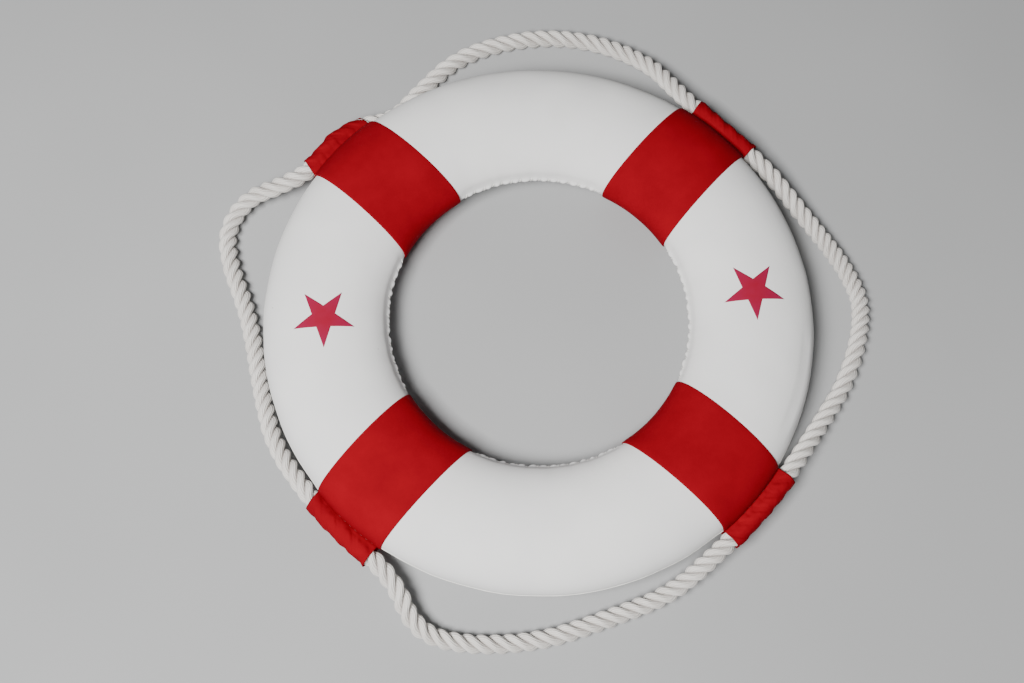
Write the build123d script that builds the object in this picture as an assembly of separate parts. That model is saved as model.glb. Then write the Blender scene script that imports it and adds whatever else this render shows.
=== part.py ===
from build123d import *
import math
import os

# A soft ring lifebuoy lying on its back: a foam ring in a sewn white cover, four red bands
# wrapped round it, and a grab rope held in a red sleeve at each band. Millimetres, +Z up,
# origin under the ring's centre, on the surface that it lies on.

# Driving dimensions: the ring's section is an ellipse, flattened a little underneath.
outside_diameter = 500.0
section_width = 112.0
section_height = 66.0
rest_flat_depth = 1.0

# Cover and foam core
cover_thickness = 1.2
core_clearance = 0.3

# Seams where the upper and lower covers meet
seam_thread_diameter = 0.6
seam_thread_gap = 0.05
whip_stitch_count = 96
whip_stitch_length = 5.0
whip_stitch_slant = 25.0

# Red bands: straight-edged strips, each wrapped once round the section
band_width = 75.4
band_thickness = 0.7
band_clearance = 0.2
band_angles = {"rear_right": 45.0, "rear_left": 135.0, "front_left": 225.0, "front_right": 315.0}

# Rope sleeves: yaw turns a sleeve's end away from the ring, pitch lifts it
rope_diameter = 17.0
sleeve_bore_clearance = 1.7
sleeve_wall = 0.6
sleeve_gap = 0.1
sleeve_bend_radius = 500.0
sleeve_web_thickness = 3.0
sleeve_drops = {"rear_right": 0.0, "rear_left": 4.0, "front_left": 0.0, "front_right": 0.0}
sleeve_yaws = {"rear_right": 2.0, "rear_left": 2.0, "front_left": 1.0, "front_right": 0.0}
sleeve_pitches = {"rear_right": 0.0, "rear_left": 6.0, "front_left": 0.0, "front_right": 0.0}

# Stitch rows that close each sleeve against its band
sleeve_thread_diameter = 0.8
sleeve_stitch_length = 4.0
sleeve_stitch_pitch = 6.5
sleeve_stitch_height = 5.5
sleeve_stitch_gap = 0.3

# Tape that holds the two rope ends together inside the rear left sleeve
tape_length = 22.0
tape_clearance = 0.25
tape_wall = 0.5

# Star patches on the top of the cover: the inset is from the middle of the section
star_points = 5
star_tip_radius = 28.2
star_notch_radius = 10.8
star_inset = 2.0
star_heading = -90.0
star_thickness = 0.35
star_gap = 0.05
star_places = {"star_right": 2.0, "star_left": 180.0}

# The grab rope's route, from the joint in the rear left sleeve round by the left, front,
# right and rear, and back to the joint. It rests on the floor between sleeves.
rope_route = [
    (-186, 184.6, 29.1),
    (-207, 163.4, 31.8),
    (-232, 146.3, 32.3),
    (-266, 135, 17),
    (-288, 108, 8.6),
    (-293, 70, 8.6),
    (-277, 33, 8.6),
    (-263, -6, 8.6),
    (-256, -54, 8.6),
    (-242, -102, 14),
    (-217.5, -150, 32.8),
    (-186.5, -185.5, 33.3),
    (-141, -226, 32),
    (-121, -270, 14),
    (-78, -290, 8.6),
    (-11, -286, 8.6),
    (43, -270, 8.6),
    (98, -250, 13),
    (146, -222, 32),
    (186, -185, 33.3),
    (222, -148, 32),
    (250, -105, 14),
    (281, -64, 8.6),
    (307, 2, 8.6),
    (293, 49, 8.6),
    (259, 94, 14),
    (222, 144, 32),
    (185.5, 185.5, 33.3),
    (148, 222, 32),
    (122, 265, 14),
    (67, 296, 8.6),
    (7, 302, 8.6),
    (-59, 284, 8.6),
    (-101, 245, 8.6),
    (-133, 224, 15),
    (-164, 206.5, 25.8),
    (-184.5, 186.1, 28.8),
]
arc_share_of_run = 0.45

# Sizes that follow
section_centre_radius = outside_diameter / 2 - section_width / 2
half_width = section_width / 2
half_height = section_height / 2
seam_stand_off = seam_thread_diameter + 2 * seam_thread_gap + band_clearance
band_inner_half_width = half_width + seam_stand_off
band_inner_half_height = half_height + band_clearance
band_outer_half_width = band_inner_half_width + band_thickness
band_outer_half_height = band_inner_half_height + band_thickness
centre_height = band_outer_half_height - rest_flat_depth
sleeve_bore_radius = rope_diameter / 2 + sleeve_bore_clearance
sleeve_outer_radius = sleeve_bore_radius + sleeve_wall
sleeve_radius_from_axis = (
    section_centre_radius + band_outer_half_width + sleeve_gap + sleeve_outer_radius
)


def section(half_x, half_z):
    """The ring's section as a flat face, with its resting flat, at the section's centre."""
    below_flat = Pos(0, -half_z) * Rectangle(2 * half_x, 2 * rest_flat_depth)
    return Ellipse(half_x, half_z) - below_flat


def shell_section(outer_x, outer_z, inner_x, inner_z):
    return section(outer_x, outer_z) - section(inner_x, inner_z)


def half_of(face, side):
    """The part of a section above (side 1) or below (side -1) the seam plane."""
    return face & Pos(0, side * section_height) * Rectangle(2 * section_width, 2 * section_height)


def turned(face, arc=360.0):
    """A section turned about the ring's axis, centred on the X axis when it is an arc."""
    placed = Plane.XZ * Pos(section_centre_radius, centre_height) * face
    return Rot(0, 0, -arc / 2) * revolve(placed, Axis.Z, arc)


def core_half(side):
    inset = cover_thickness + core_clearance
    return turned(half_of(section(half_width - inset, half_height - inset), side))


def cover_half(side):
    inner_x = half_width - cover_thickness
    inner_z = half_height - cover_thickness
    return turned(half_of(shell_section(half_width, half_height, inner_x, inner_z), side))


def inner_seam_stitches():
    """Whip stitches across the seam on the wall of the hole."""
    radius = outside_diameter / 2 - section_width - seam_thread_gap - seam_thread_diameter / 2
    stitch = Cylinder(seam_thread_diameter / 2, whip_stitch_length)
    leaning = Pos(radius, 0, centre_height) * Rot(whip_stitch_slant, 0, 0) * stitch
    turn = 360.0 / whip_stitch_count
    return [Rot(0, 0, turn * index) * leaning for index in range(whip_stitch_count)]


def outer_seam_welt():
    """The narrow turned edge of the outer seam."""
    radius = outside_diameter / 2 + seam_thread_gap + seam_thread_diameter / 2
    return Pos(0, 0, centre_height) * Torus(radius, seam_thread_diameter / 2)


def band_at(angle):
    wrap = shell_section(
        band_outer_half_width,
        band_outer_half_height,
        band_inner_half_width,
        band_inner_half_height,
    )
    inner_radius = section_centre_radius - band_outer_half_width
    arc = 4 * math.degrees(math.asin(band_width / 2 / inner_radius))
    strip = Box(
        outside_diameter,
        band_width,
        4 * section_height,
        align=(Align.MIN, Align.CENTER, Align.CENTER),
    )
    return Rot(0, 0, angle) * (turned(wrap, arc) & strip)


def curved_bar(face):
    """A section swept along a sleeve's gentle bend, centred on the sleeve's middle."""
    arc = 2 * math.degrees(math.asin(band_width / 2 / sleeve_bend_radius))
    bar = revolve(Plane.XZ * Pos(sleeve_bend_radius, 0) * face, Axis.Z, arc)
    return Pos(-sleeve_bend_radius, 0, 0) * Rot(0, 0, -arc / 2) * bar


def sleeve_place(side):
    """Where a sleeve's middle is, and how it is turned, before it is moved to its band."""
    height = centre_height - sleeve_drops[side]
    turn = Rot(0, 0, -sleeve_yaws[side]) * Rot(sleeve_pitches[side], 0, 0)
    return Pos(sleeve_radius_from_axis, 0, height) * turn


def sleeve_at(side):
    """A fabric tube, with the web that joins it to the band."""
    web_length = sleeve_outer_radius + sleeve_web_thickness
    web = Pos(-web_length / 2, 0) * Rectangle(web_length, sleeve_web_thickness)
    outline = (Circle(sleeve_outer_radius) + web) - Circle(sleeve_bore_radius)
    band_room = turned(
        section(band_outer_half_width + sleeve_gap, band_outer_half_height + sleeve_gap)
    )
    sleeve = (sleeve_place(side) * curved_bar(outline)) - band_room
    return Rot(0, 0, band_angles[side]) * sleeve


def sleeve_stitches_at(side):
    """Two rows of thread, above and below the web, in the crease between band and sleeve."""
    count = int(band_width // sleeve_stitch_pitch)
    stitch = Rot(90, 0, 0) * Cylinder(sleeve_thread_diameter / 2, sleeve_stitch_length)
    crease_radius = math.sqrt(sleeve_outer_radius**2 - sleeve_stitch_height**2)
    inward = crease_radius + sleeve_stitch_gap + sleeve_thread_diameter / 2
    rows = []
    for index in range(count):
        along = (index - (count - 1) / 2) * sleeve_stitch_pitch
        bend = along**2 / (2 * sleeve_bend_radius)
        for height in (-sleeve_stitch_height, sleeve_stitch_height):
            placed = sleeve_place(side) * Pos(-inward - bend, along, height) * stitch
            rows.append(Rot(0, 0, band_angles[side]) * placed)
    return rows


def rope_radii(points):
    """One bend radius for each corner of the route, as large as its two runs allow."""
    radii = []
    for before, corner, after in zip(points, points[1:], points[2:]):
        run_in = corner - before
        run_out = after - corner
        half_turn = math.radians(run_in.get_angle(run_out)) / 2
        shorter = min(run_in.length, run_out.length)
        radii.append(arc_share_of_run * shorter / math.tan(half_turn))
    return radii


def grab_rope():
    points = [Vector(*point) for point in rope_route]
    radii = rope_radii(points)
    path = FilletPolyline(*points, radius=radii)
    start = Plane(origin=path @ 0, z_dir=path % 0)
    rope = sweep(start * Circle(rope_diameter / 2), path=path)
    expected = math.pi * rope_diameter**2 / 4 * path.length
    print("rope bend radii", [round(radius) for radius in radii])
    print("rope length", round(path.length, 1), "volume over section times length",
          round(rope.volume / expected, 5))
    return rope


def rope_end_tape():
    """A short tube of tape round the butted rope ends."""
    inner = rope_diameter / 2 + tape_clearance
    tube = Cylinder(inner + tape_wall, tape_length) - Cylinder(inner, tape_length)
    first = Vector(*rope_route[-1])
    last = Vector(*rope_route[0])
    along = Plane(origin=(first + last) / 2, z_dir=last - Vector(*rope_route[-2]))
    return along * tube


def star_at(angle):
    """A star that follows the cover, with one tip towards -Y."""
    corners = 2 * star_points
    outline = []
    for index in range(corners):
        reach = star_notch_radius if index % 2 else star_tip_radius
        turn = math.radians(star_heading + 360.0 / corners * index)
        outline.append((reach * math.cos(turn), reach * math.sin(turn)))
    centre = Vector(section_centre_radius - star_inset, 0, 0).rotate(Axis.Z, angle)
    prism = Pos(centre.X, centre.Y, centre_height) * extrude(
        make_face(Polyline(*outline, close=True)), section_height
    )
    under = half_height + star_gap
    over = under + star_thickness
    skin = shell_section(half_width + star_gap + star_thickness, over, half_width + star_gap, under)
    return prism & turned(half_of(skin, 1))


def write(name, shape):
    """One STEP file for a node, which is one solid or a group of alike ones."""
    node = Compound(children=shape) if isinstance(shape, list) else shape.solid()
    export_step(node, f"parts/{name}.step")


def main():
    os.makedirs("parts", exist_ok=True)
    write("foam_core_upper", core_half(1))
    write("foam_core_lower", core_half(-1))
    write("cover_upper", cover_half(1))
    write("cover_lower", cover_half(-1))
    write("inner_seam_stitches", inner_seam_stitches())
    write("outer_seam_welt", outer_seam_welt())
    for side, angle in band_angles.items():
        write(f"band_{side}", band_at(angle))
        write(f"rope_sleeve_{side}", sleeve_at(side))
        write(f"sleeve_stitches_{side}", sleeve_stitches_at(side))
    write("grab_rope", grab_rope())
    write("rope_end_tape", rope_end_tape())
    for name, angle in star_places.items():
        write(name, star_at(angle))


main()
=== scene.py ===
import math
import bmesh
import bpy
import numpy as np
from mathutils import Matrix, Vector, noise
from mathutils.bvhtree import BVHTree


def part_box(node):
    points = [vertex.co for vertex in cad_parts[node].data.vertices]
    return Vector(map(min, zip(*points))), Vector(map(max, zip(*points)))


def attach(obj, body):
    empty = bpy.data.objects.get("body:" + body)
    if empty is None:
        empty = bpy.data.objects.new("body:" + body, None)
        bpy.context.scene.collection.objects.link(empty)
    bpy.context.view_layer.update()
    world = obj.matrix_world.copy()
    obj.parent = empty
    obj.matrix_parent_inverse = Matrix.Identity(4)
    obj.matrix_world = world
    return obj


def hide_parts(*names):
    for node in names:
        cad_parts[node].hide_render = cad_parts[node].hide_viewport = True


# A soft ring lifebuoy: a sewn white cover over a foam ring, four red bands, and a three-strand
# cotton grab rope held in a red sleeve at each band. Metres, in the CAD model's own frame.

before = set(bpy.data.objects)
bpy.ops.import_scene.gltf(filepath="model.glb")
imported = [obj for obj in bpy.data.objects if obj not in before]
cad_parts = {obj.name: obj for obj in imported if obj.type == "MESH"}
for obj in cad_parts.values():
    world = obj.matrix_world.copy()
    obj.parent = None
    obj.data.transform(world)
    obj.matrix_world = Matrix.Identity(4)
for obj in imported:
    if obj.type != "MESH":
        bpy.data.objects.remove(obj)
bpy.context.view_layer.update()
MM = 0.001

# Sizes that come from the frame
cover_low, cover_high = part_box("cover_upper")
outside_radius = cover_high.x
seam_height = cover_low.z
half_height = cover_high.z - cover_low.z
hole_radius = min(v.co.xy.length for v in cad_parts["cover_upper"].data.vertices)
half_width = (outside_radius - hole_radius) / 2
centre_radius = (outside_radius + hole_radius) / 2
resting_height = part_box("cover_lower")[0].z
band_stand_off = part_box("band_rear_right")[1].z - cover_high.z
SIDES = ("rear_right", "rear_left", "front_left", "front_right")


def heading(node):
    """The direction from the ring's axis to the middle of a node's box, as an angle."""
    low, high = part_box(node)
    return math.atan2(low.y + high.y, low.x + high.x)


band_headings = {side: round(heading(f"band_{side}") / (math.pi / 4)) * math.pi / 4 for side in SIDES}
band_width = 75.4 * MM
band_side_stand_off = 1.6 * MM

# The grab rope: three strands, right-hand laid. These are not part.py's points. A scratch program
# moved those to fit the rope's outer edge in the photo, and seven were then changed by hand. The
# line lies up to 8.2 mm from the one through part.py's points.
rope_diameter = 17 * MM
rope_route = [
    (-0.1852, 0.1843, 0.029),
    (-0.2035, 0.1595, 0.0295),
    (-0.2315, 0.1455, 0.0285),
    (-0.2685, 0.1385, 0.017),
    (-0.2895, 0.1085, 0.0086),
    (-0.2845, 0.0715, 0.0086),
    (-0.271, 0.0355, 0.0086),
    (-0.262, -0.006, 0.0086),
    (-0.255, -0.054, 0.0086),
    (-0.243, -0.1025, 0.014),
    (-0.214, -0.1475, 0.027),
    (-0.1845, -0.1835, 0.03),
    (-0.14, -0.225, 0.027),
    (-0.123, -0.272, 0.014),
    (-0.0775, -0.2865, 0.0086),
    (-0.011, -0.2855, 0.0086),
    (0.043, -0.27, 0.0086),
    (0.0995, -0.253, 0.013),
    (0.144, -0.2195, 0.027),
    (0.1845, -0.1835, 0.03),
    (0.219, -0.1455, 0.027),
    (0.251, -0.1055, 0.014),
    (0.2825, -0.0645, 0.0086),
    (0.307, 0.002, 0.0086),
    (0.2915, 0.048, 0.0086),
    (0.2595, 0.0945, 0.014),
    (0.223, 0.1445, 0.027),
    (0.183, 0.183, 0.03),
    (0.15, 0.2235, 0.027),
    (0.1235, 0.2665, 0.014),
    (0.067, 0.2965, 0.0086),
    (0.007, 0.302, 0.0086),
    (-0.06, 0.2855, 0.0086),
    (-0.102, 0.246, 0.0086),
    (-0.1277, 0.2155, 0.011),
    (-0.1629, 0.2052, 0.0245),
    (-0.1838, 0.1859, 0.029),
]

# The rope is twisted unevenly. Each pair is a distance along it and how far apart the strands'
# crowns lie there, in millimetres, taken from measurements of the photo.
crown_pitches = [
    (0, 12.0), (300, 11.3), (420, 12.5), (520, 13.5), (600, 12.4), (700, 11.8), (860, 10.8),
    (960, 12.6), (1080, 12.4), (1110, 9.2), (1130, 8.7), (1200, 8.7), (1230, 11.2), (1300, 12.0),
    (1350, 13.0), (1400, 12.4), (1700, 12.6), (1803, 12.0),
]


# ---------------------------------------------------------------- camera, lights and floor

def add_camera():
    """The camera that was fitted to the photo."""
    place = Vector((-0.06112, -0.37477, 1.18668))
    target = Vector((-0.02598, -0.02272, 0.04))
    roll = math.radians(2.767)
    back = (place - target).normalized()
    right = Vector((0, 0, 1)).cross(back).normalized()
    up = back.cross(right)
    across = right * math.cos(roll) + up * math.sin(roll)
    data = bpy.data.cameras.new("camera")
    data.sensor_width = 36
    data.lens = 46.86
    data.clip_end = 20
    camera = bpy.data.objects.new("camera", data)
    bpy.context.scene.collection.objects.link(camera)
    turned = Matrix((across, back.cross(across), back)).transposed()
    camera.matrix_world = Matrix.Translation(place) @ turned.to_4x4()
    bpy.context.scene.camera = camera


def add_light(name, place, size, power, colour):
    """A rectangular lamp that faces the middle of the floor."""
    data = bpy.data.lights.new(name, "AREA")
    data.shape = "RECTANGLE"
    data.size, data.size_y = size
    data.energy = power
    data.color = colour
    light = bpy.data.objects.new(name, data)
    bpy.context.scene.collection.objects.link(light)
    light.location = place
    light.rotation_mode = "QUATERNION"
    light.rotation_quaternion = (-Vector(place)).to_track_quat("-Z", "Y")


def add_studio():
    add_light("overhead", (-0.72, -0.72, 1.95), (0.9, 0.7), 98, (1.0, 0.99, 0.975))
    add_light("front_fill", (0.3, -2.1, 1.2), (1.6, 1.2), 1.5, (0.95, 0.97, 1.0))
    world = bpy.data.worlds.new("world")
    world.use_nodes = True
    background = world.node_tree.nodes["Background"]
    background.inputs["Color"].default_value = (0.9, 0.92, 0.95, 1)
    background.inputs["Strength"].default_value = 0.07
    bpy.context.scene.world = world
    half = 4.0
    mesh = bpy.data.meshes.new("floor")
    corners = [(-half, -half, 0), (half, -half, 0), (half, half, 0), (-half, half, 0)]
    mesh.from_pydata(corners, [], [(0, 1, 2, 3)])
    floor = bpy.data.objects.new("floor", mesh)
    bpy.context.scene.collection.objects.link(floor)
    floor.data.materials.append(floor_material())


# ---------------------------------------------------------------- materials

CANVAS_PITCH, BAND_PITCH, THREAD_PITCH = 0.9 * MM, 1.0 * MM, 0.9 * MM


def node(tree, kind, inputs=None, **settings):
    made = tree.nodes.new(kind)
    for key, value in settings.items():
        setattr(made, key, value)
    for key, value in (inputs or {}).items():
        if hasattr(value, "is_output"):
            tree.links.new(value, made.inputs[key])
        else:
            made.inputs[key].default_value = value
    return made


def math_node(tree, operation, *values):
    return node(tree, "ShaderNodeMath", dict(enumerate(values)), operation=operation).outputs[0]


def mix_colour(tree, factor, first, second, blend="MIX"):
    inputs = {0: factor, 6: first, 7: second}
    return node(tree, "ShaderNodeMix", inputs, data_type="RGBA", blend_type=blend).outputs[2]


def ramp(tree, value, stops):
    made = node(tree, "ShaderNodeValToRGB", {"Fac": value})
    elements = made.color_ramp.elements
    while len(elements) < len(stops):
        elements.new(0.5)
    for element, (place, colour) in zip(elements, stops):
        element.position = place
        element.color = colour if len(colour) == 4 else (*colour, 1)
    return made.outputs["Color"]


def grey(level):
    return (level, level, level, 1)


def new_material(name, roughness, sheen=0.0, specular=0.5):
    material = bpy.data.materials.new(name)
    material.use_nodes = True
    shader = material.node_tree.nodes["Principled BSDF"]
    shader.inputs["Roughness"].default_value = roughness
    shader.inputs["Sheen Weight"].default_value = sheen
    shader.inputs["Sheen Roughness"].default_value = 0.5
    shader.inputs["Specular IOR Level"].default_value = specular
    return material, material.node_tree, shader


def object_place(tree):
    return node(tree, "ShaderNodeTexCoord").outputs["Object"]


def noise_at(tree, place, scale, detail=2.0, roughness=0.5):
    inputs = {"Vector": place, "Scale": scale, "Detail": detail, "Roughness": roughness}
    return node(tree, "ShaderNodeTexNoise", inputs).outputs["Fac"]


def wave(tree, place, pitch, direction):
    """Ridges of that pitch. A wave texture of scale 1 has a period of pi / 10."""
    inputs = {"Vector": place, "Scale": math.pi / 10 / pitch, "Distortion": 0.0}
    return node(tree, "ShaderNodeTexWave", inputs, bands_direction=direction).outputs["Fac"]


def weave(tree, place, pitch):
    """A plain weave: threads over and under each other in both directions."""
    across = math_node(tree, "SUBTRACT", wave(tree, place, pitch, "X"), 0.5)
    along = math_node(tree, "SUBTRACT", wave(tree, place, pitch, "Y"), 0.5)
    return math_node(tree, "MULTIPLY", across, along)


def bump(tree, shader, height, strength, distance):
    made = node(tree, "ShaderNodeBump", {"Height": height, "Strength": strength, "Distance": distance})
    tree.links.new(made.outputs["Normal"], shader.inputs["Normal"])


def floor_material():
    material, tree, shader = new_material("floor_paper", 0.9)
    cloudy = noise_at(tree, object_place(tree), 3.0)
    colour = ramp(tree, cloudy, [(0.3, (0.34, 0.345, 0.35)), (0.7, (0.37, 0.375, 0.38))])
    tree.links.new(colour, shader.inputs["Base Color"])
    return material


def white_fabric():
    material, tree, shader = new_material("white_fabric", 0.85, sheen=0.08, specular=0.25)
    place = object_place(tree)
    cloudy = noise_at(tree, place, 14.0, 3.0)
    colour = ramp(tree, cloudy, [(0.3, (0.76, 0.76, 0.765)), (0.7, (0.82, 0.82, 0.815))])
    yellowed = math_node(tree, "MULTIPLY", noise_at(tree, place, 33.0, 3.0), 0.16)
    colour = mix_colour(tree, yellowed, colour, (0.72, 0.71, 0.66, 1))
    specks = node(tree, "ShaderNodeTexVoronoi", {"Vector": place, "Scale": 42.0})
    small = math_node(tree, "LESS_THAN", specks.outputs["Distance"], 0.022)
    red_part = node(tree, "ShaderNodeSeparateColor", {0: specks.outputs["Color"]}).outputs[0]
    few = math_node(tree, "GREATER_THAN", red_part, 0.72)
    dirt = math_node(tree, "MULTIPLY", math_node(tree, "MULTIPLY", small, few), 0.55)
    colour = mix_colour(tree, dirt, colour, (0.2, 0.19, 0.18, 1))
    tree.links.new(colour, shader.inputs["Base Color"])
    fine = math_node(tree, "MULTIPLY", weave(tree, place, CANVAS_PITCH), 0.8)
    slub = noise_at(tree, place, 420.0, 3.0)
    bump(tree, shader, math_node(tree, "ADD", fine, slub), 0.28, 0.35 * MM)
    return material


def red_fabric(name, deep, bright):
    """Woven strip. The UV map is in metres across and along it, and the edge attribute, where a piece has
    it, paints shade into margins and creases."""
    material, tree, shader = new_material(name, 0.9, specular=0.04)
    place = object_place(tree)
    threads = node(tree, "ShaderNodeTexCoord").outputs["UV"]
    blotchy = noise_at(tree, place, 26.0, 4.0, 0.6)
    colour = ramp(tree, blotchy, [(0.28, deep), (0.72, bright)])
    fine = noise_at(tree, place, 520.0, 2.0)
    colour = mix_colour(tree, math_node(tree, "MULTIPLY", fine, 0.22), colour, (*deep, 1))
    # Painted shade: where the edge attribute is set, the colour darkens towards a deep red, standing in for
    # shade at the sleeves' ends and in their crease.
    painted_shade_mask = node(tree, "ShaderNodeAttribute", attribute_name="edge").outputs["Fac"]
    shade = math_node(tree, "MULTIPLY", painted_shade_mask, 0.3)
    colour = mix_colour(tree, shade, colour, (0.12, 0.001, 0.004, 1))
    tree.links.new(colour, shader.inputs["Base Color"])
    height = math_node(tree, "ADD", weave(tree, threads, BAND_PITCH), math_node(tree, "MULTIPLY", fine, 0.5))
    bump(tree, shader, height, 0.4, 0.4 * MM)
    return material


def cotton_rope():
    """Laid cotton: yarn lines along each strand, and painted shade that greys the grooves between strands.
    """
    material, tree, shader = new_material("cotton_rope", 0.9, sheen=0.25, specular=0.2)
    place = object_place(tree)
    yarns = node(tree, "ShaderNodeTexCoord").outputs["UV"]
    crown = node(tree, "ShaderNodeAttribute", attribute_name="crown").outputs["Fac"]
    lines = wave(tree, yarns, 1.0, "X")
    fuzz = noise_at(tree, place, 900.0, 2.0)
    patchy = noise_at(tree, place, 60.0, 3.0)
    colour = ramp(tree, patchy, [(0.3, (0.70, 0.672, 0.635)), (0.7, (0.80, 0.778, 0.745))])
    thread_shade = math_node(tree, "MULTIPLY", math_node(tree, "SUBTRACT", 1.0, lines), 0.34)
    colour = mix_colour(tree, thread_shade, colour, (0.47, 0.43, 0.40, 1))
    # Painted shade: the crown attribute darkens the grooves between the strands towards a grey brown.
    shade = ramp(tree, crown, [(0.0, grey(0.85)), (0.5, grey(0.0))])
    colour = mix_colour(tree, shade, colour, (0.27, 0.235, 0.22, 1))
    tree.links.new(colour, shader.inputs["Base Color"])
    height = math_node(tree, "ADD", lines, math_node(tree, "MULTIPLY", fuzz, 0.9))
    bump(tree, shader, height, 0.75, 0.6 * MM)
    return material


def thread_material(name, dark, light):
    """Twisted thread. The UV map turns along it."""
    material, tree, shader = new_material(name, 0.75, sheen=0.1, specular=0.3)
    twist = wave(tree, node(tree, "ShaderNodeTexCoord").outputs["UV"], THREAD_PITCH, "DIAGONAL")
    grain = noise_at(tree, object_place(tree), 700.0)
    colour = mix_colour(tree, twist, (*dark, 1), (*light, 1))
    colour = mix_colour(tree, math_node(tree, "MULTIPLY", grain, 0.3), colour, (*dark, 1))
    tree.links.new(colour, shader.inputs["Base Color"])
    bump(tree, shader, twist, 0.5, 0.15 * MM)
    return material


def star_print():
    material, tree, shader = new_material("star_print", 0.75, specular=0.12)
    place = object_place(tree)
    middle = node(tree, "ShaderNodeAttribute", attribute_name="middle").outputs["Fac"]
    wear = noise_at(tree, place, 120.0, 4.0)
    colour = mix_colour(tree, middle, (0.26, 0.009, 0.05, 1), (0.27, 0.004, 0.02, 1))
    colour = mix_colour(tree, math_node(tree, "MULTIPLY", wear, 0.35), colour, (0.31, 0.02, 0.075, 1))
    tree.links.new(colour, shader.inputs["Base Color"])
    bump(tree, shader, weave(tree, place, CANVAS_PITCH), 0.25, 0.3 * MM)
    return material


def foam_material():
    material, tree, shader = new_material("foam", 0.9)
    place = object_place(tree)
    cells = node(tree, "ShaderNodeTexVoronoi", {"Vector": place, "Scale": 450.0}).outputs["Distance"]
    colour = ramp(tree, cells, [(0.1, (0.9, 0.9, 0.87)), (0.8, (0.8, 0.8, 0.76))])
    tree.links.new(colour, shader.inputs["Base Color"])
    bump(tree, shader, cells, 0.5, 0.6 * MM)
    return material


def tape_material():
    material, tree, shader = new_material("rope_tape", 0.55, specular=0.4)
    place = object_place(tree)
    creases = noise_at(tree, place, 160.0, 4.0, 0.7)
    colour = ramp(tree, creases, [(0.3, (0.62, 0.6, 0.53)), (0.7, (0.74, 0.72, 0.66))])
    tree.links.new(colour, shader.inputs["Base Color"])
    bump(tree, shader, creases, 0.6, 0.4 * MM)
    return material


# ---------------------------------------------------------------- mesh helpers

def grid_mesh(name, points, material, close_rows=False, close_columns=False, uv=None, flip=False):
    """A mesh of quads over points[row, column]. uv is (a value per column edge, one per row edge)."""
    rows, columns = points.shape[:2]
    row = np.arange(rows if close_rows else rows - 1)[:, None]
    column = np.arange(columns if close_columns else columns - 1)[None, :]
    corners = [(row, column), (row + 1, column), (row + 1, column + 1), (row, column + 1)]
    if flip:
        corners.reverse()
    faces = np.stack([(r % rows) * columns + c % columns for r, c in corners], -1).reshape(-1, 4)
    mesh = bpy.data.meshes.new(name)
    mesh.from_pydata(points.reshape(-1, 3).tolist(), [], faces.tolist())
    if uv is not None:
        across, along = np.asarray(uv[0]), np.asarray(uv[1])
        shape = np.broadcast_shapes(row.shape, column.shape)
        pairs = [
            np.stack([np.broadcast_to(across[c], shape), np.broadcast_to(along[r], shape)], -1)
            for r, c in corners
        ]
        layer = mesh.uv_layers.new(name="threads")
        layer.data.foreach_set("uv", np.stack(pairs, 2).astype(np.float32).ravel())
    mesh.polygons.foreach_set("use_smooth", np.ones(len(mesh.polygons), bool))
    mesh.materials.append(material)
    mesh.update()
    made = bpy.data.objects.new(name, mesh)
    bpy.context.scene.collection.objects.link(made)
    return made


def point_values(obj, name, values):
    layer = obj.data.attributes.new(name, "FLOAT", "POINT")
    layer.data.foreach_set("value", np.asarray(values, np.float32).ravel())


def smooth_step(value):
    value = np.clip(value, 0, 1)
    return value * value * (3 - 2 * value)


def hill(distance, width):
    return np.exp(-((distance / width) ** 2))


def lumps(points, size, seed):
    """Smooth seeded noise from -1 to 1 at each point, with features of that size."""
    shift = Vector((seed, seed * 1.7, seed * 2.3))
    flat = points.reshape(-1, 3) / size
    values = [noise.noise(Vector(p) + shift) for p in flat]
    return np.array(values).reshape(points.shape[:-1])


def unit(vectors):
    return vectors / np.linalg.norm(vectors, axis=-1, keepdims=True)


# ---------------------------------------------------------------- rope

def rope_line():
    """The rope's centre line, read from a NURBS spline on the route's points."""
    curve = bpy.data.curves.new("rope_line", "CURVE")
    curve.dimensions = "3D"
    spline = curve.splines.new("NURBS")
    spline.points.add(len(rope_route) - 1)
    for point, place in zip(spline.points, rope_route):
        point.co = (*place, 1)
    spline.order_u = 3
    spline.use_endpoint_u = True
    spline.resolution_u = 34
    holder = bpy.data.objects.new("rope_line", curve)
    bpy.context.scene.collection.objects.link(holder)
    mesh = bpy.data.meshes.new_from_object(holder)
    points = np.array([v.co for v in mesh.vertices], float)
    bpy.data.objects.remove(holder)
    bpy.data.meshes.remove(mesh)
    return points


def carried_frames(points):
    """Two directions across a line at each of its points, carried along it without twist."""
    along = unit(np.gradient(points, axis=0))
    side = np.cross(along[0], (0, 0, 1))
    sides = []
    for direction in along:
        side = unit(side - direction * (side @ direction))
        sides.append(side)
    sides = np.array(sides)
    return sides, np.cross(along, sides)


rope_points = rope_line()
rope_steps = np.linalg.norm(np.diff(rope_points, axis=0), axis=1)
rope_distance = np.concatenate([[0], np.cumsum(rope_steps)])
rope_length = rope_distance[-1]
rope_side, rope_up = carried_frames(rope_points)
THIRD = 2 * math.pi / 3
pitch_places, pitches = np.array(crown_pitches).T * MM
crowns_passed = np.cumsum(np.gradient(rope_distance) / np.interp(rope_distance, pitch_places, pitches))
lay_wander = 0.25 * np.sin(rope_distance / 0.11) + 0.2 * np.sin(rope_distance / 0.047 + 1)
rope_turn = THIRD * crowns_passed + lay_wander
tape_reach = 11 * MM


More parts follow.
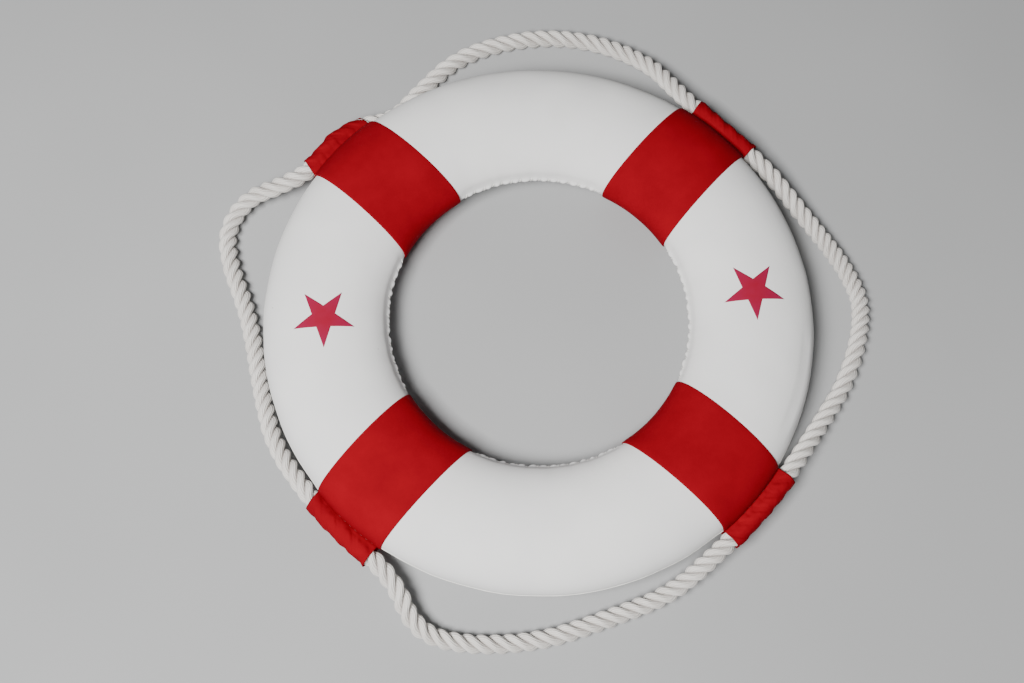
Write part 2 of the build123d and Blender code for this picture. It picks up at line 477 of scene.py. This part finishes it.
def rope_piece():
    """The three strands as one closed lobed tube that turns along the rope."""
    per_strand = 22
    strand_offset, strand_radius = 4.45 * MM, 4.05 * MM
    swelling, tape_squeeze, tape_margin, floor_gap = 0.16 * MM, 0.06, 3 * MM, 0.05 * MM
    around = np.arange(3 * per_strand) * THIRD / per_strand - THIRD / 2
    lobe = (around + THIRD / 2) % THIRD - THIRD / 2
    reach = strand_offset * np.cos(lobe) + np.sqrt(
        strand_radius**2 - (strand_offset * np.sin(lobe)) ** 2
    )
    strand = np.arange(3 * per_strand) // per_strand
    swell = np.stack([
        swelling * np.sin(rope_distance / 0.019 + phase) * np.sin(rope_distance / 0.0071 + 2 * phase)
        for phase in (0.3, 2.1, 4.4)
    ])
    angle = rope_turn[:, None] + around[None, :]
    distance = reach[None, :] + swell[strand].T * hill(lobe, 0.7)[None, :]
    from_end = np.minimum(rope_distance, rope_length - rope_distance)
    taped = 1 - tape_squeeze * smooth_step((tape_reach + tape_margin - from_end) / tape_margin)
    distance = distance * taped[:, None]
    points = rope_points[:, None, :] + distance[..., None] * (
        np.cos(angle)[..., None] * rope_side[:, None, :] + np.sin(angle)[..., None] * rope_up[:, None, :]
    )
    points[..., 2] = np.maximum(points[..., 2], floor_gap)
    yarns_per_strand, yarn_turns_back = 8, 0.55
    yarn = np.arange(3 * per_strand + 1) / per_strand * yarns_per_strand
    piece = grid_mesh("grab_rope_strands", points, materials["rope"], close_columns=True, flip=True)
    slant = rope_turn / THIRD * yarn_turns_back * yarns_per_strand
    set_sheared_uv(piece, yarn, slant, rope_distance)
    crown = (reach - reach.min()) / (reach.max() - reach.min())
    point_values(piece, "crown", np.broadcast_to(crown, points.shape[:2]))
    cap_ends(piece, len(rope_points), 3 * per_strand)
    return piece


def tape_piece():
    """Tape wound round the two rope ends, where they meet."""
    end, start = rope_distance > rope_length - tape_reach, rope_distance < tape_reach
    line = np.concatenate([rope_points[end], rope_points[start]])
    stations, columns, tape_radius, tape_thickness = 24, 40, 8.6 * MM, 0.4 * MM
    line = line[np.linspace(0, len(line) - 1, stations).round().astype(int)]
    sides, ups = carried_frames(line)
    around = np.arange(columns)[None, :] * 2 * math.pi / columns
    outer = tape_radius + 0.08 * MM * np.sin(3 * around + np.arange(len(line))[:, None] * 0.5)
    directions = np.cos(around)[..., None] * sides[:, None, :] + np.sin(around)[..., None] * ups[:, None, :]
    skin = line[:, None, :] + outer[..., None] * directions
    lining = (line[:, None, :] + (outer - tape_thickness)[..., None] * directions)[::-1]
    points = np.concatenate([skin, lining])
    return grid_mesh("rope_tape", points, materials["tape"], close_rows=True, close_columns=True)


def set_sheared_uv(piece, across, shift, along):
    """A UV map on a flipped grid whose columns drift by shift from row to row."""
    rows, columns = len(along) - 1, len(across) - 1
    row, column = np.arange(rows)[:, None], np.arange(columns)[None, :]
    corners = [(row, column + 1), (row + 1, column + 1), (row + 1, column), (row, column)]
    pairs = [
        np.stack(np.broadcast_arrays(across[c] + shift[r], along[r] + 0 * across[c]), -1)
        for r, c in corners
    ]
    layer = piece.data.uv_layers.new(name="threads")
    layer.data.foreach_set("uv", np.stack(pairs, 2).astype(np.float32).ravel())


def cap_ends(piece, rows, columns):
    """Closes the two ends of a tube that grid_mesh made."""
    edit = bmesh.new()
    edit.from_mesh(piece.data)
    edit.verts.ensure_lookup_table()
    first = [edit.verts[i] for i in range(columns)]
    last = [edit.verts[(rows - 1) * columns + i] for i in range(columns)]
    edit.faces.new(first)
    edit.faces.new(last[::-1])
    bmesh.ops.recalc_face_normals(edit, faces=edit.faces)
    edit.to_mesh(piece.data)
    edit.free()


# ---------------------------------------------------------------- cover

# The section's outline is an ellipse, measured by its length from the outer seam over the top.
dense_angles = np.linspace(0, 2 * math.pi, 4001)
outline_steps = np.hypot(
    np.diff(half_width * np.cos(dense_angles)), np.diff(half_height * np.sin(dense_angles))
)
outline_distance = np.concatenate([[0], np.cumsum(outline_steps)])
outline_length = outline_distance[-1]
half_outline = outline_length / 2


def section_angle(distance):
    return np.interp(distance % outline_length, outline_distance, dense_angles)


def ring_point(turn, angle, grow_side=0.0, grow_up=0.0, floor=None):
    """A point on the ring at a turn about its axis and an angle round its section."""
    radius = centre_radius + (half_width + grow_side) * np.cos(angle)
    height = seam_height + (half_height + grow_up) * np.sin(angle)
    height = np.maximum(height, resting_height if floor is None else floor)
    radius, height = np.broadcast_arrays(radius, height + 0 * turn)
    return np.stack([radius * np.cos(turn), radius * np.sin(turn), height], -1)


def ring_normal(turn, angle):
    side, up = half_height * np.cos(angle), half_width * np.sin(angle)
    length = np.hypot(side, up)
    side, up = np.broadcast_arrays(side / length, up / length + 0 * turn)
    return np.stack([side * np.cos(turn), side * np.sin(turn), up], -1)


def outside_bands(points, fade):
    """0 under the red bands, rising to 1 over the distance fade past their edges."""
    clear = np.ones(points.shape[:-1])
    for angle in band_headings.values():
        along = points[..., 0] * math.cos(angle) + points[..., 1] * math.sin(angle)
        across = np.abs(points[..., 1] * math.cos(angle) - points[..., 0] * math.sin(angle))
        past = smooth_step((across - band_width / 2) / fade)
        clear = np.where(along > 0, np.minimum(clear, past), clear)
    return clear


TURNS, SIM_TURNS, SIM_ROUND = 1152, 192, 48
sim_turn = np.arange(SIM_TURNS)[:, None] * 2 * math.pi / SIM_TURNS
sim_distance = np.arange(SIM_ROUND)[None, :] * outline_length / SIM_ROUND
sim_angle = section_angle(sim_distance)


def cloth_shift():
    """How far air-filled cloth, held at the bands and seams, moves from the plain ring."""
    rest = ring_point(sim_turn, sim_angle)
    start = rest + ring_normal(sim_turn, sim_angle) * (lumps(rest, 0.03, 3.0) * 0.5 * MM)[..., None]
    cloth = grid_mesh("cloth", start, materials["white"], close_rows=True, close_columns=True)
    outer = hill(np.minimum(sim_distance, outline_length - sim_distance), 3 * MM)
    inner = hill(sim_distance - half_outline, 3 * MM)
    below = smooth_step((0.006 - rest[..., 2]) / 0.004)
    held = np.maximum(1 - outside_bands(rest, 8 * MM), np.maximum(0.9 * inner, 0.75 * outer))
    held = np.maximum(held, 0.8 * below)
    loose = np.broadcast_to(0.35 + 0.65 * hill(np.abs(np.cos(sim_angle) - 1), 0.8), held.shape)
    for name, weights in (("held", held), ("loose", loose)):
        group = cloth.vertex_groups.new(name=name)
        for index, weight in enumerate(weights.ravel()):
            group.add([index], float(weight), "REPLACE")
    modifier = cloth.modifiers.new("Cloth", "CLOTH")
    settings = modifier.settings
    settings.quality = 5
    settings.mass = 0.15
    settings.tension_stiffness = settings.compression_stiffness = 25
    settings.shear_stiffness = 8
    settings.bending_stiffness = 0.6
    settings.use_pressure = True
    settings.uniform_pressure_force = 3.0
    settings.vertex_group_mass = "held"
    settings.pin_stiffness = 2.0
    settings.vertex_group_shrink = "loose"
    settings.shrink_min, settings.shrink_max = 0.0, -0.035
    settings.effector_weights.gravity = 0
    frames = 20
    modifier.point_cache.frame_end = frames
    for step in range(1, frames + 1):
        bpy.context.scene.frame_set(step)
    shown = cloth.evaluated_get(bpy.context.evaluated_depsgraph_get())
    moved = np.array([v.co for v in shown.data.vertices], float).reshape(rest.shape)
    bpy.context.scene.frame_set(1)
    bpy.data.objects.remove(cloth)
    shift = moved - rest
    length = np.linalg.norm(shift, axis=-1, keepdims=True)
    most = 3.2 * MM
    return shift * most * np.tanh(length / most) / np.maximum(length, 1e-9)


def finer(field, factor):
    """A field that repeats along its first axis, read smoothly at more places."""
    count = len(field)
    spectrum = np.fft.rfft(field, axis=0)
    padded = np.zeros((count * factor // 2 + 1, *field.shape[1:]), complex)
    padded[: len(spectrum)] = spectrum
    return np.fft.irfft(padded, count * factor, axis=0) * factor


def to_ring_axes(field, turn):
    """x and y of a field of shifts turned to run outward and along the ring."""
    outward = field[..., 0] * np.cos(turn) + field[..., 1] * np.sin(turn)
    along = field[..., 1] * np.cos(turn) - field[..., 0] * np.sin(turn)
    return np.stack([outward, along, field[..., 2]], -1)


WHIP_STITCHES = 96
WHIP_SLANT = math.tan(math.radians(25))
stitch_draw = np.random.default_rng(11).uniform(0.6, 1.15, WHIP_STITCHES)
stitch_slip = np.random.default_rng(12).uniform(-0.09, 0.09, WHIP_STITCHES)


class Cover:
    """The cover's surface, with the cloth's shape and the puckers at its seams."""

    def __init__(self):
        shift = to_ring_axes(cloth_shift(), sim_turn)
        shift = finer(shift, TURNS // SIM_TURNS)
        self.shift = np.swapaxes(finer(np.swapaxes(shift, 0, 1), 8), 0, 1)

    def shift_at(self, turn, distance):
        """The cloth's shift at a turn and a distance round the section, between grid points."""
        turns, rounds = self.shift.shape[:2]
        i = (turn / (2 * math.pi) * turns) % turns
        j = (distance / outline_length * rounds) % rounds
        i0, j0 = np.floor(i).astype(int) % turns, np.floor(j).astype(int) % rounds
        di, dj = (i - np.floor(i))[..., None], (j - np.floor(j))[..., None]
        i1, j1 = (i0 + 1) % turns, (j0 + 1) % rounds
        first = self.shift[i0, j0] * (1 - dj) + self.shift[i0, j1] * dj
        second = self.shift[i1, j0] * (1 - dj) + self.shift[i1, j1] * dj
        return first * (1 - di) + second * di

    def pucker(self, turn, distance):
        """How far the whip stitches draw the cloth in round the inner seam."""
        from_seam = distance - half_outline
        place = turn / (2 * math.pi) * WHIP_STITCHES
        nearest = np.round(place).astype(int) % WHIP_STITCHES
        slant = from_seam * WHIP_SLANT / hole_radius * WHIP_STITCHES / (2 * math.pi)
        off = place - np.round(place) - stitch_slip[nearest] - slant * hill(from_seam, 5 * MM)
        pitch = 2 * math.pi * hole_radius / WHIP_STITCHES
        draw = stitch_draw[nearest] * hill(off * pitch, 2.2 * MM)
        crest = hill(from_seam, 2.0 * MM)
        valley = hill(np.abs(from_seam) - 6.5 * MM, 3.2 * MM) * np.where(from_seam > 0, 1.0, 0.5)
        ray = hill(off * pitch, 2.6 * MM) * np.exp(-np.abs(from_seam) / (8 * MM))
        ring = np.stack([hole_radius * np.cos(turn), hole_radius * np.sin(turn), 0.15 * from_seam], -1)
        gathers = lumps(ring, 0.010, 9.0) * np.exp(-np.abs(from_seam) / (24 * MM))
        ridge = crest * (2.2 - 1.9 * draw) - 0.85 * valley
        return (ridge - 0.25 * ray * stitch_draw[nearest] + 0.45 * gathers) * MM

    def point(self, turn, distance, lift=0.0):
        turn, distance = np.broadcast_arrays(turn, distance)
        angle = section_angle(distance)
        base = ring_point(turn, angle)
        clear = outside_bands(base, 9 * MM)[..., None]
        shift = self.shift_at(turn, distance)
        outward = shift[..., 0] * np.cos(turn) - shift[..., 1] * np.sin(turn)
        along = shift[..., 0] * np.sin(turn) + shift[..., 1] * np.cos(turn)
        moved = np.stack([outward, along, shift[..., 2]], -1)
        edge_in = -0.35 * MM * hill(np.minimum(distance, outline_length - distance), 1.6 * MM)
        rise = (self.pucker(turn, distance) + edge_in + long_crease(turn, distance))[..., None]
        placed = base + clear * (moved + ring_normal(turn, angle) * rise)
        placed = placed + ring_normal(turn, angle) * (lift + 0 * turn)[..., None]
        placed[..., 2] = np.maximum(placed[..., 2], 0.4 * MM)
        return placed


def long_crease(turn, distance):
    """The soft fold that runs along the outer edge between the right star and a band."""
    turn = (turn + math.pi) % (2 * math.pi) - math.pi
    middle, half_length = math.radians(-19), math.radians(15)
    reach = smooth_step((half_length - np.abs(turn - middle)) / math.radians(8))
    line = 21 * MM + 60 * MM * (turn - middle) ** 2
    ridge = 0.9 * hill(distance - line + 5 * MM, 4.5 * MM)
    return reach * MM * (ridge - 1.1 * hill(distance - line, 2.6 * MM))


def cover_piece(name, cover, over):
    """One half of the cover, as a closed shell: over is 1 for the top and -1 for the bottom."""
    past_outer_seam, before_inner_seam = 6 * MM, half_outline - 14 * MM
    outer = np.concatenate([
        np.linspace(0, past_outer_seam, 6)[:-1],
        np.linspace(past_outer_seam, before_inner_seam, 30)[:-1],
        np.linspace(before_inner_seam, half_outline, 21),
    ])
    inner = np.linspace(half_outline, 0, 16)
    thickness = 0.8 * MM
    turn = np.arange(TURNS)[:, None] * 2 * math.pi / TURNS
    skin = cover.point(turn, over * outer[None, :] % outline_length)
    lining = cover.point(turn, over * inner[None, :] % outline_length, -thickness)
    points = np.concatenate([skin, lining], 1)
    return grid_mesh(name, points, materials["white"], close_rows=True, close_columns=True, flip=over < 0)


# ---------------------------------------------------------------- bands

def band_point(angle, across, section, stand):
    """A point on a band: stand is 0 on the cover and 1 on the band's outer face."""
    grow_side, grow_up = stand * band_side_stand_off, stand * band_stand_off
    radius = centre_radius + (half_width + grow_side) * np.cos(section)
    turn = np.arcsin(across / radius)
    floor = resting_height * (1 - np.clip(stand, 0, 1))
    return ring_point(turn + angle, section, grow_side, grow_up, floor)


def band_piece(side):
    angle = band_headings[side]
    seed = 5.0 + SIDES.index(side)
    edge = 0.9 * MM
    rounding = np.linspace(0, math.pi / 2, 5)
    half = band_width / 2
    flat_columns, inner_columns, rounds = 38, 6, 220
    edge_stand, inner_stand = 0.3, 0.25
    outer = np.concatenate([
        -half + edge * (1 - np.cos(rounding)),
        np.linspace(-half + edge, half - edge, flat_columns + 2)[1:-1],
        half - edge * (1 - np.cos(rounding[::-1])),
    ])
    rising = edge_stand + (1 - edge_stand) * np.sin(rounding)
    stand_outer = np.concatenate([rising, np.ones(flat_columns), rising[::-1]])
    inner = np.linspace(half, -half, inner_columns)
    across = np.concatenate([outer, inner])[None, :]
    stand = np.concatenate([stand_outer, np.full(inner_columns, inner_stand)])[None, :]
    distance = np.arange(rounds)[:, None] * outline_length / rounds
    section = section_angle(distance)
    points = band_point(angle, across, section, stand)
    from_crease = np.minimum(distance, outline_length - distance)
    near = hill(np.maximum(from_crease - 6 * MM, 0), 11 * MM)
    draw = np.zeros(across.shape)
    rng = np.random.default_rng(int(seed))
    for middle in np.arange(-30, 31, 10) + rng.uniform(-2.5, 2.5, 7):
        draw = draw + rng.uniform(0.3, 1.0) * hill(across - middle * MM, 2.4 * MM)
    dents = (-0.3 * draw * near + 0.25 * near) * MM
    away = smooth_step((half - np.abs(across)) / (5 * MM))
    loose = (0.5 + 0.5 * lumps(points, 0.024, seed)) * 0.5 * MM * away
    shown = stand > edge_stand
    rise = np.where(shown, dents * (0.35 + 0.65 * away) + loose, 0.0)
    points = points + ring_normal(section_turn(points), section) * rise[..., None]
    points[..., 2] = np.maximum(points[..., 2], 0.02 * MM)
    along = np.arange(rounds + 1) * outline_length / rounds
    width = np.concatenate([outer, inner, outer[:1]])
    return grid_mesh(f"red_band_{side}", points, materials["red"], close_rows=True, close_columns=True,
                     uv=(width, along))


def section_turn(points):
    return np.arctan2(points[..., 1], points[..., 0])


# ---------------------------------------------------------------- sleeves

# Each sleeve's look, in millimetres. Its two mouths come first, at the clockwise and the
# anticlockwise end: how far each reaches past the band's edge, beside the band and on the far
# side. Then how much they flare, and the height of the crease above the rope's centre. "folds"
# scales how deep the folds are, and "lay" is how closely they follow the rope's strands.
sleeve_looks = {
    "rear_right": {"mouths": ((0, 0.5), (-9.5, -7.5)), "flare": (0, 0), "folds": 1.1,
                   "lay": 0.8, "crease": 5.0, "seed": 21},
    "rear_left": {"mouths": ((0, 0.5), (-1, -6)), "flare": (0.1, 0.1), "folds": 0.9,
                  "lay": 0.65, "crease": 6.0, "seed": 22},
    "front_left": {"mouths": ((0, -2), (-3.5, -1.5)), "flare": (0, 0.9), "folds": 0.95,
                   "lay": 0.7, "crease": 5.5, "seed": 23},
    "front_right": {"mouths": ((0, 1.5), (0, 1.5)), "flare": (0.2, 0.2), "folds": 0.85,
                    "lay": 0.7, "crease": 6.5, "seed": 24},
}


def rope_beside(angle):
    """The rope's centre beside a band, in the band's own axes: outward and up, by place across."""
    outward = rope_points[:, 0] * math.cos(angle) + rope_points[:, 1] * math.sin(angle)
    across = rope_points[:, 1] * math.cos(angle) - rope_points[:, 0] * math.sin(angle)
    near = np.flatnonzero((outward > 0) & (np.abs(across) < 0.75 * band_width))
    order = near[np.argsort(across[near])]
    crown = rope_side * np.cos(rope_turn)[:, None] + rope_up * np.sin(rope_turn)[:, None]
    facing = np.array([math.cos(angle), math.sin(angle), 0])
    crown_angle = np.arctan2(crown[:, 2], crown @ facing)
    return across[order], outward[order], rope_points[order, 2], np.unwrap(3 * crown_angle[order])


def sleeve_piece(side):
    """One sleeve round the rope and back to its band, and where the crease's stitches go."""
    angle, look = band_headings[side], sleeve_looks[side]
    across, outward, up, phase = rope_beside(angle)
    half = band_width / 2

    def beside(place):
        """The rope's centre, outward and up, and the band's face, at a place across the band."""
        centre_out, centre_up = np.interp(place, across, outward), np.interp(place, across, up)
        level = (centre_up - seam_height) / (half_height + band_stand_off)
        face = centre_radius + (half_width + band_side_stand_off) * np.sqrt(1 - level**2)
        return centre_out, centre_up, np.sqrt(face**2 - place**2)

    rows, columns, thickness = 110, 90, 0.4 * MM
    stations = np.linspace(-half, half, rows)[:, None]
    around = np.linspace(-math.pi, math.pi, columns, endpoint=False)[None, :]
    near = np.where(stations < 0, -look["mouths"][0][0], look["mouths"][1][0]) * MM
    far = np.where(stations < 0, -look["mouths"][0][1], look["mouths"][1][1]) * MM
    stretch = near + (far - near) * (1 + np.cos(around)) / 2
    place = stations + stretch * smooth_step(np.abs(stations) / half)
    centre_out, centre_up, face = beside(place)
    crown = np.interp(place, across, phase) * look["lay"]
    tight = rope_diameter / 2 + 0.8 * MM
    crease_up = look["crease"] * MM
    wall = centre_out - face + 0.1 * MM
    tip_angle = np.arctan2(crease_up, -wall)
    tip_reach = np.hypot(crease_up, wall)
    size = np.abs(around)
    wing = hill(np.minimum(size - tip_angle, 0), 0.3)
    reach = tight + (tip_reach - tight) * wing
    reach = np.where(size > tip_angle, wall / np.maximum(-np.cos(around), 0.2), reach)
    open_side = smooth_step((tip_angle - size) / 0.9)
    facing = np.array([math.cos(angle), math.sin(angle), 0])
    sideways = np.array([-math.sin(angle), math.cos(angle), 0])
    upward = np.array([0, 0, 1.0])

    def placed(distance):
        return (
            (centre_out + distance * np.cos(around))[..., None] * facing
            + (centre_up + distance * np.sin(around))[..., None] * upward
            + place[..., None] * sideways
        )

    uneven = 0.75 + 0.5 * lumps(placed(reach), 0.014, look["seed"] + 3)
    lobes = np.cos(3 * around - crown) - 0.35 * np.cos(2 * (3 * around - crown) + 0.4)
    reach = reach + look["folds"] * 0.95 * MM * lobes * uneven * open_side
    rng = np.random.default_rng(look["seed"])
    pleats = np.zeros(stations.shape)
    for middle in np.arange(-31, 32, 9) + rng.uniform(-2.5, 2.5, 7):
        pleats = pleats + rng.uniform(0.4, 1.0) * hill(stations - middle * MM, 2.0 * MM)
    reach = reach - 0.8 * MM * pleats * hill(size - tip_angle + 0.35, 0.4) * (size < tip_angle)
    ends = smooth_step((np.abs(stations) - half + 8 * MM) / (8 * MM))
    flare = np.where(stations < 0, look["flare"][0], look["flare"][1]) * MM
    reach = reach + flare * ends * smooth_step((tip_angle - size) / 0.6)
    rough = lumps(placed(reach), 0.0075, look["seed"]) + 0.5 * lumps(placed(reach), 0.0035, look["seed"] + 7)
    reach = reach + 0.42 * MM * rough * open_side
    reach = np.maximum(reach, rope_diameter / 2 + 0.5 * MM)
    skin = placed(reach)
    lining = placed(reach - thickness)[::-1]
    points = np.concatenate([skin, lining], 0)
    girth = np.linspace(0, 2 * math.pi * tight, columns + 1)
    length = np.concatenate([stations[:, 0], stations[::-1, 0], stations[:1, 0]])
    piece = grid_mesh(f"red_sleeve_{side}", points, materials["sleeve"], close_rows=True,
                      close_columns=True, uv=(girth, length))
    # Painted shade: the edge attribute darkens the sleeve within about a millimetre of its ends and along
    # the crease valley by the band.
    painted_edge_and_crease_shade = hill(half - np.abs(np.concatenate([stations, stations[::-1]])), 0.9 * MM) + 0 * around
    valley = hill(size - tip_angle, 0.16)
    painted_edge_and_crease_shade = np.maximum(painted_edge_and_crease_shade, np.concatenate([valley, valley[::-1]]) * 0.9)
    point_values(piece, "edge", painted_edge_and_crease_shade)
    run = stations[:, 0]
    _, run_up, run_face = beside(run)
    ends_beside = (-half - look["mouths"][0][0] * MM, half + look["mouths"][1][0] * MM)
    return piece, (run, run_face, run_up, crease_up, angle, ends_beside)


# ---------------------------------------------------------------- threads

def thread_tubes(name, paths, radius, material):
    """Short threads, each a closed tube along its own path, as one piece."""
    sides = 8
    turn = np.arange(sides) * 2 * math.pi / sides
    points, faces = [], []
    for path in paths:
        start = len(points)
        side, up = carried_frames(path)
        count = len(path)
        thin = np.sin(np.linspace(0.12, 1, count) * math.pi * 0.96) ** 0.35 * radius
        for place, a, b, r in zip(path, side, up, thin):
            points.extend(place + r * (math.cos(t) * a + math.sin(t) * b) for t in turn)
        for i in range(count - 1):
            for j in range(sides):
                k = (j + 1) % sides
                row, after = start + i * sides, start + (i + 1) * sides
                faces.append((row + j, row + k, after + k, after + j))
        faces.append(tuple(start + j for j in reversed(range(sides))))
        faces.append(tuple(start + (count - 1) * sides + j for j in range(sides)))
    mesh = bpy.data.meshes.new(name)
    mesh.from_pydata([tuple(p) for p in points], [], faces)
    layer = mesh.uv_layers.new(name="threads")
    corner = np.array([v for polygon in mesh.polygons for v in polygon.vertices])
    places = np.stack([corner % sides / sides * 2 * MM, corner // sides * 0.6 * MM], -1)
    layer.data.foreach_set("uv", places.astype(np.float32).ravel())
    mesh.polygons.foreach_set("use_smooth", np.ones(len(mesh.polygons), bool))
    mesh.materials.append(material)
    made = bpy.data.objects.new(name, mesh)
    bpy.context.scene.collection.objects.link(made)
    return made


def whip_stitches(cover):
    """Slanted stitches over the inner seam, with their ends in the cloth."""
    steps = np.linspace(-1, 1, 11)
    paths = []
    for index in range(WHIP_STITCHES):
        turn = (index + stitch_slip[index]) * 2 * math.pi / WHIP_STITCHES
        from_seam = steps * 3.0 * MM
        slanted = turn + from_seam * WHIP_SLANT / hole_radius
        lift = (0.5 - 0.85 * steps**4) * MM
        paths.append(cover.point(slanted, half_outline + from_seam, lift))
    return thread_tubes("inner_whip_stitches", paths, 0.5 * MM, materials["white_thread"])


def crease_stitches(side, crease):
    """Two rows of stitches in the crease where a sleeve meets its band."""
    stations, out, up, rise, angle, (first, last) = crease
    facing = np.array([math.cos(angle), math.sin(angle), 0])
    sideways = np.array([-math.sin(angle), math.cos(angle), 0])
    end_gap, half_stitch, upward = 5.2 * MM, 2.2 * MM, np.array([0, 0, 1])
    paths = []
    for middle in np.linspace(first + end_gap, last - end_gap, 11):
        for row in (-1, 1):
            steps = np.linspace(-1, 1, 9)
            place = middle + steps * half_stitch
            outward = np.interp(place, stations, out) + (0.45 - 0.35 * steps**2) * MM
            height = np.interp(place, stations, up) + row * (rise + 1.0 * MM - 0.5 * MM * steps**2)
            paths.append(
                outward[:, None] * facing + place[:, None] * sideways + height[:, None] * upward
            )
    return thread_tubes(f"crease_stitches_{side}", paths, 0.32 * MM, materials["red_thread"])


def outer_welt(cover):
    """The thin turned edge that stands along the outer seam."""
    sides = 8
    turn = np.arange(TURNS)[:, None] * 2 * math.pi / TURNS
    around = np.arange(sides)[None, :] * 2 * math.pi / sides
    line = cover.point(turn[:, 0], 0 * turn[:, 0], 0.15 * MM)
    wander = 0.22 * MM * lumps(line, 0.012, 31.0)
    outward = np.stack([np.cos(turn[:, 0]), np.sin(turn[:, 0]), 0 * turn[:, 0]], -1)
    thick = (0.5 + 0.12 * lumps(line, 0.006, 33.0)) * MM
    points = (
        line[:, None, :]
        + (thick[:, None] * np.cos(around))[..., None] * outward[:, None, :]
        + (wander[:, None] + 0.85 * thick[:, None] * np.sin(around))[..., None] * np.array([0, 0, 1])
    )
    along = np.arange(TURNS + 1) * 2 * math.pi * outside_radius / TURNS
    around_uv = np.linspace(0, 3 * MM, sides + 1)
    return grid_mesh("outer_seam_edge", points, materials["white_thread"], close_rows=True,
                     close_columns=True, uv=(around_uv, along))


# ---------------------------------------------------------------- stars

def star_piece(node_name, cover_top):
    """A thin printed star that follows the cover below it."""
    low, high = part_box(node_name)
    tip_radius = (high.y - low.y) / (1 + math.cos(math.pi / 5))
    centre = Vector(((low.x + high.x) / 2, low.y + tip_radius))
    notch_radius = tip_radius * math.sin(math.radians(18)) / math.sin(math.radians(54))
    corners = []
    for index in range(10):
        reach = notch_radius if index % 2 else tip_radius
        turn = -math.pi / 2 + index * math.pi / 5
        corners.append(centre + reach * Vector((math.cos(turn), math.sin(turn))))
    tree = BVHTree.FromObject(cover_top, bpy.context.evaluated_depsgraph_get())
    steps, above_cover, above_ring = 10, 0.22 * MM, 1.0
    points, faces, middle, index_of = [], [], [], {}

    def vertex(flat):
        key = (round(flat.x * 1e6), round(flat.y * 1e6))
        if key not in index_of:
            hit, normal, _, _ = tree.ray_cast(Vector((*flat, above_ring)), Vector((0, 0, -1)))
            index_of[key] = len(points)
            points.append(hit + normal * above_cover)
            middle.append(1 - (flat - centre).length / tip_radius)
        return index_of[key]

    for index in range(10):
        first, second = corners[index], corners[(index + 1) % 10]
        grid = [[centre + (first - centre) * (a / steps) + (second - first) * (b / steps)
                 for b in range(a + 1)] for a in range(steps + 1)]
        for a in range(steps):
            for b in range(a + 1):
                faces.append([vertex(p) for p in (grid[a][b], grid[a + 1][b], grid[a + 1][b + 1])])
                if b < a:
                    faces.append([vertex(p) for p in (grid[a][b], grid[a + 1][b + 1], grid[a][b + 1])])
    mesh = bpy.data.meshes.new(f"printed_{node_name}")
    mesh.from_pydata(points, [], faces)
    mesh.polygons.foreach_set("use_smooth", np.ones(len(mesh.polygons), bool))
    mesh.materials.append(materials["star"])
    piece = bpy.data.objects.new(f"printed_{node_name}", mesh)
    bpy.context.scene.collection.objects.link(piece)
    point_values(piece, "middle", np.clip(np.array(middle) * 1.3, 0, 1))
    solid = piece.modifiers.new("thickness", "SOLIDIFY")
    solid.thickness = 0.3 * MM
    solid.offset = -1
    return piece


# ---------------------------------------------------------------- the object

materials = {
    "white": white_fabric(),
    "red": red_fabric("red_fabric", (0.20, 0.0025, 0.0075), (0.26, 0.003, 0.0095)),
    "sleeve": red_fabric("red_sleeve_fabric", (0.19, 0.0025, 0.0075), (0.28, 0.004, 0.010)),
    "rope": cotton_rope(),
    "white_thread": thread_material("white_thread", (0.74, 0.74, 0.70), (0.86, 0.86, 0.83)),
    "red_thread": thread_material("red_thread", (0.10, 0.001, 0.002), (0.2, 0.001, 0.003)),
    "star": star_print(),
    "foam": foam_material(),
    "tape": tape_material(),
}


def finished(piece, slot, *nodes):
    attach(piece, "root")
    if nodes:
        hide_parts(*nodes)
    return piece


add_camera()
add_studio()

rope = finished(rope_piece(), "cotton_rope", "grab_rope")
cover = Cover()
cover_top = finished(cover_piece("cover_top_fabric", cover, 1), "white_fabric", "cover_upper")
cover_bottom = finished(cover_piece("cover_bottom_fabric", cover, -1), "white_fabric", "cover_lower")
finished(whip_stitches(cover), "white_thread", "inner_seam_stitches")
finished(outer_welt(cover), "white_fabric", "outer_seam_welt")
for side in SIDES:
    band = finished(band_piece(side), "red_fabric", f"band_{side}")
    sleeve, crease = sleeve_piece(side)
    finished(sleeve, "red_sleeve_fabric", f"rope_sleeve_{side}")
    stitches = finished(crease_stitches(side, crease), "red_thread", f"sleeve_stitches_{side}")
bpy.context.view_layer.update()
for star in ("star_left", "star_right"):
    finished(star_piece(star, cover_top), "star_print", star)
for core in ("foam_core_upper", "foam_core_lower"):
    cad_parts[core].data.materials.clear()
    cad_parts[core].data.materials.append(materials["foam"])
tape = finished(tape_piece(), "rope_tape", "rope_end_tape")
